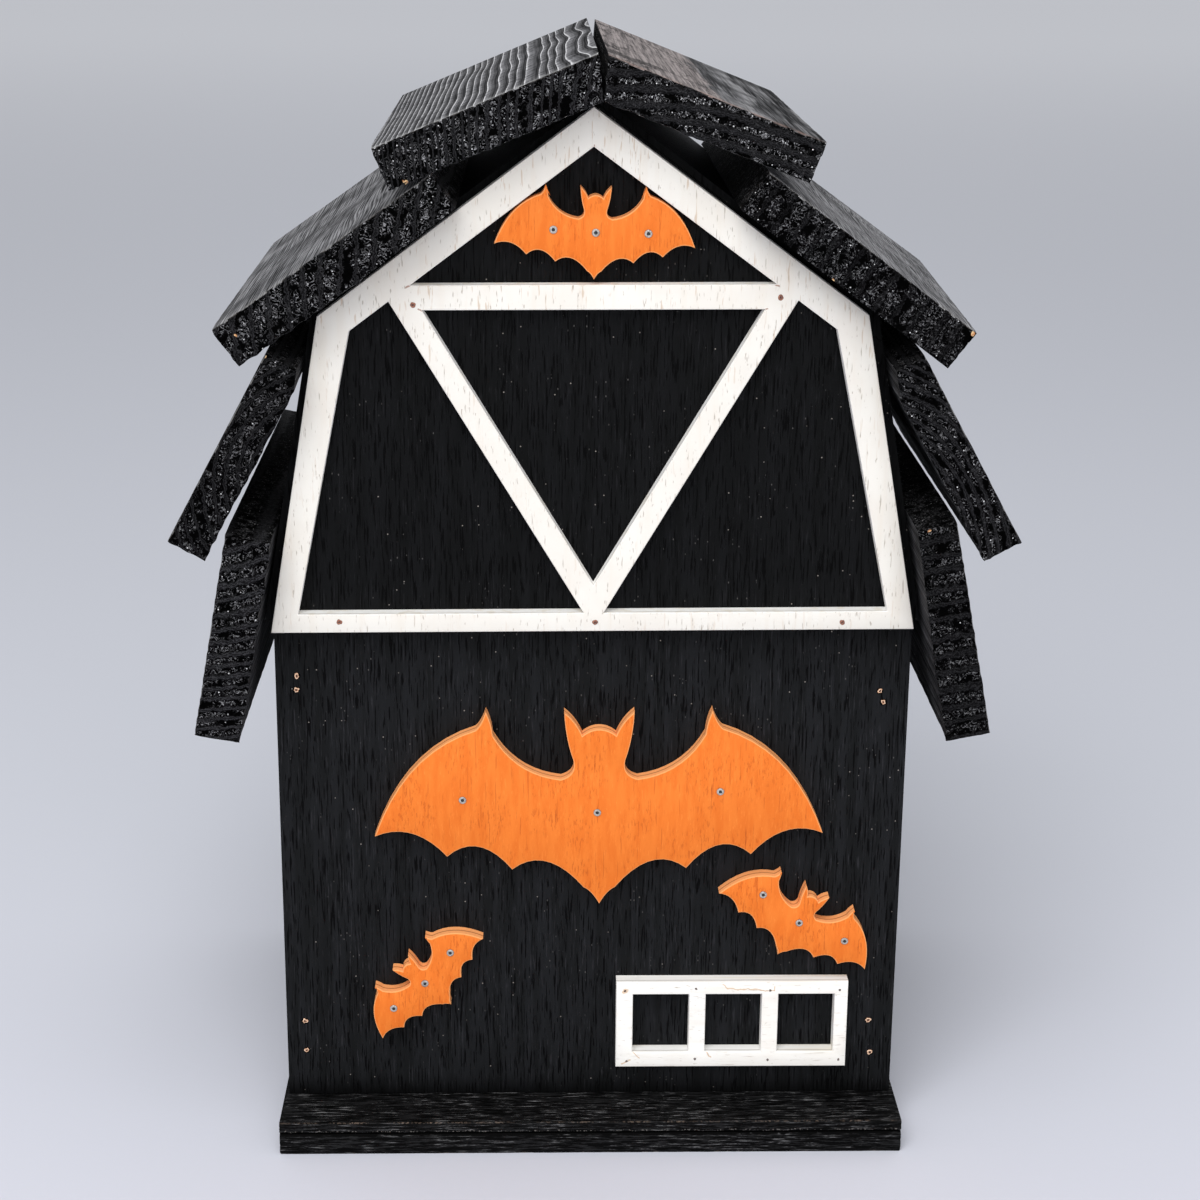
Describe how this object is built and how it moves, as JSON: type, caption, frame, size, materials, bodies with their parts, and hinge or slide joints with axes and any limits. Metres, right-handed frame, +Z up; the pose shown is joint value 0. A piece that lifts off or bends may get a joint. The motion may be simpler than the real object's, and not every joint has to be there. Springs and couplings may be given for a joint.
{
  "type": "bat box",
  "caption": "Bat roosting box shaped like a gambrel barn, with lapped roof boards, open-bottomed chambers between partitions, white trim and cut-out bats.",
  "frame": {"origin": "underside of the base, at the middle of the whole box's width and depth", "axes": "+X right seen from the front, +Y towards the back, +Z up"},
  "size_m": [0.4522, 0.3048, 0.6152],
  "materials": {
    "black_paint": "satin black paint over open grain",
    "white_paint": "worn warm white paint",
    "orange_paint": "satin orange paint",
    "bare_plywood": "bare, rough",
    "steel": "bright"
  },
  "bodies": {
    "root": {"attic_bat": "orange_paint", "attic_bat_brad_1": "steel", "attic_bat_brad_2": "steel", "attic_bat_brad_3": "steel", "back_panel": "black_paint", "barn_trim": "white_paint", "base_lower": "black_paint", "base_screw_left_1": "steel", "base_screw_left_2": "steel", "base_screw_right_1": "steel", "base_screw_right_2": "steel", "base_upper": "black_paint", "eave_board_left": "black_paint", "eave_board_right": "black_paint", "front_panel": "black_paint", "knee_board_left": "black_paint", "knee_board_right": "black_paint", "large_bat": "orange_paint", "large_bat_brad_1": "steel", "large_bat_brad_2": "steel", "large_bat_brad_3": "steel", "lean_wall_left": "black_paint", "lean_wall_right": "black_paint", "panel_nail_1": "steel", "panel_nail_2": "steel", "panel_nail_3": "steel", "panel_nail_4": "steel", "panel_nail_5": "steel", "panel_nail_6": "steel", "panel_nail_7": "steel", "panel_nail_8": "steel", "partition_1": "bare_plywood", "partition_2": "bare_plywood", "partition_3": "bare_plywood", "partition_4": "bare_plywood", "partition_5": "bare_plywood", "rafter_board_left": "black_paint", "rafter_board_right": "black_paint", "ridge_board_left": "black_paint", "ridge_board_right": "black_paint", "roof_deck_left": "black_paint", "roof_deck_right": "black_paint", "side_wall_left": "black_paint", "side_wall_right": "black_paint", "small_left_bat": "orange_paint", "small_left_bat_brad_1": "steel", "small_left_bat_brad_2": "steel", "small_left_bat_brad_3": "steel", "small_right_bat": "orange_paint", "small_right_bat_brad_1": "steel", "small_right_bat_brad_2": "steel", "small_right_bat_brad_3": "steel", "trim_nail_1": "steel", "trim_nail_2": "steel", "trim_nail_3": "steel", "trim_nail_4": "steel", "trim_nail_5": "steel", "window_frame": "white_paint"}
  },
  "joints": []
}
